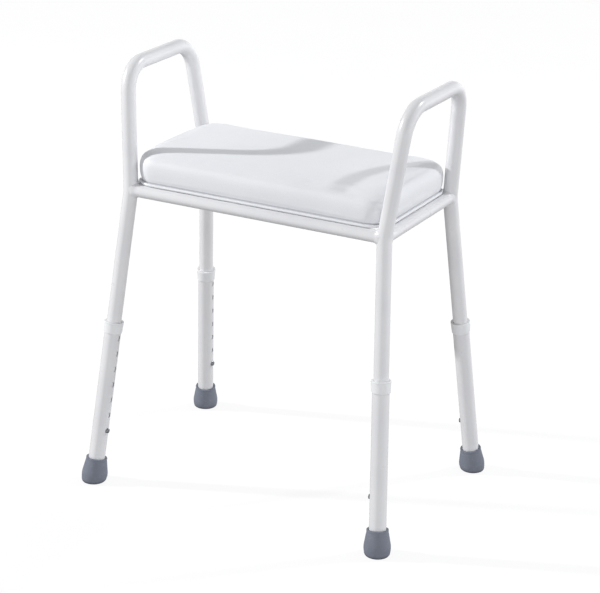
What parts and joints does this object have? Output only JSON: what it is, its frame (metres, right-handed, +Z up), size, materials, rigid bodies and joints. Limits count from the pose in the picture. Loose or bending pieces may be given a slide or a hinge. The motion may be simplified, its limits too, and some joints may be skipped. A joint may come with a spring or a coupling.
{
  "type": "shower chair",
  "caption": "Backless shower chair with a padded seat, armrest hoops and telescopic legs that lock on snap buttons.",
  "frame": {"origin": "on the floor under the middle of the seat, with the legs at their lowest setting", "axes": "+Z up, +X to the right seen from the front, +Y from the front to the back"},
  "size_m": [0.532, 0.381, 0.6566],
  "materials": {
    "frame_coating": "smooth glossy white powder coat",
    "leg_coating": "smooth glossy white powder coat",
    "collar_plastic": "satin white moulded plastic",
    "tip_rubber": "matte blue-grey moulded rubber",
    "zinc_steel": "bright zinc-plated steel",
    "button_steel": "polished steel dome",
    "spring_steel": "dark tempered spring steel",
    "seat_vinyl": "satin white vinyl with a fine grain",
    "piping_vinyl": "satin white vinyl over a round cord",
    "seat_foam": "open-cell upholstery foam",
    "seat_plywood": "sealed birch plywood"
  },
  "bodies": {
    "frame": {"hoop_left": "frame_coating", "hoop_right": "frame_coating", "front_rail": "frame_coating", "back_rail": "frame_coating", "left_rail": "frame_coating", "right_rail": "frame_coating", "seat_cover": "seat_vinyl", "seat_foam": "seat_foam", "seat_board": "seat_plywood", "seat_piping": "piping_vinyl", "seat_tab_fl": "frame_coating", "seat_tab_fr": "frame_coating", "seat_tab_bl": "frame_coating", "seat_tab_br": "frame_coating", "tab_screw_fl_1": "zinc_steel", "tab_screw_fl_2": "zinc_steel", "tab_screw_fr_1": "zinc_steel", "tab_screw_fr_2": "zinc_steel", "tab_screw_bl_1": "zinc_steel", "tab_screw_bl_2": "zinc_steel", "tab_screw_br_1": "zinc_steel", "tab_screw_br_2": "zinc_steel", "button_spring_fl": "spring_steel", "button_spring_fr": "spring_steel", "button_spring_bl": "spring_steel", "button_spring_br": "spring_steel"},
    "leg_fl": {"lower_leg_fl": "leg_coating", "leg_collar_fl": "collar_plastic", "foot_tip_fl": "tip_rubber", "foot_washer_fl": "zinc_steel"},
    "button_fl": {"snap_button_fl": "button_steel"},
    "leg_fr": {"lower_leg_fr": "leg_coating", "leg_collar_fr": "collar_plastic", "foot_tip_fr": "tip_rubber", "foot_washer_fr": "zinc_steel"},
    "button_fr": {"snap_button_fr": "button_steel"},
    "leg_bl": {"lower_leg_bl": "leg_coating", "leg_collar_bl": "collar_plastic", "foot_tip_bl": "tip_rubber", "foot_washer_bl": "zinc_steel"},
    "button_bl": {"snap_button_bl": "button_steel"},
    "leg_br": {"lower_leg_br": "leg_coating", "leg_collar_br": "collar_plastic", "foot_tip_br": "tip_rubber", "foot_washer_br": "zinc_steel"},
    "button_br": {"snap_button_br": "button_steel"}
  },
  "joints": [
    {"name": "leg_fl_height", "type": "slide", "parent": "frame", "child": "leg_fl", "axis": [-0.0734, -0.1257, -0.9893], "range_m": [0, 0.15]},
    {"name": "leg_fr_height", "type": "slide", "parent": "frame", "child": "leg_fr", "axis": [0.0734, -0.1257, -0.9893], "range_m": [0, 0.15]},
    {"name": "leg_bl_height", "type": "slide", "parent": "frame", "child": "leg_bl", "axis": [-0.0734, 0.1257, -0.9893], "range_m": [0, 0.15]},
    {"name": "leg_br_height", "type": "slide", "parent": "frame", "child": "leg_br", "axis": [0.0734, 0.1257, -0.9893], "range_m": [0, 0.15]},
    {"name": "button_fl_press", "type": "slide", "parent": "frame", "child": "button_fl", "axis": [-0.9973, 0.0093, 0.0729], "range_m": [0, 0.0045], "stiffness_N_per_m": 1500, "springref_m": -0.001, "deforming": ["button_spring_fl"]},
    {"name": "button_fr_press", "type": "slide", "parent": "frame", "child": "button_fr", "axis": [0.9973, 0.0093, 0.0729], "range_m": [0, 0.0045], "stiffness_N_per_m": 1500, "springref_m": -0.001, "deforming": ["button_spring_fr"]},
    {"name": "button_bl_press", "type": "slide", "parent": "frame", "child": "button_bl", "axis": [-0.9973, -0.0093, 0.0729], "range_m": [0, 0.0045], "stiffness_N_per_m": 1500, "springref_m": -0.001, "deforming": ["button_spring_bl"]},
    {"name": "button_br_press", "type": "slide", "parent": "frame", "child": "button_br", "axis": [0.9973, -0.0093, 0.0729], "range_m": [0, 0.0045], "stiffness_N_per_m": 1500, "springref_m": -0.001, "deforming": ["button_spring_br"]}
  ]
}
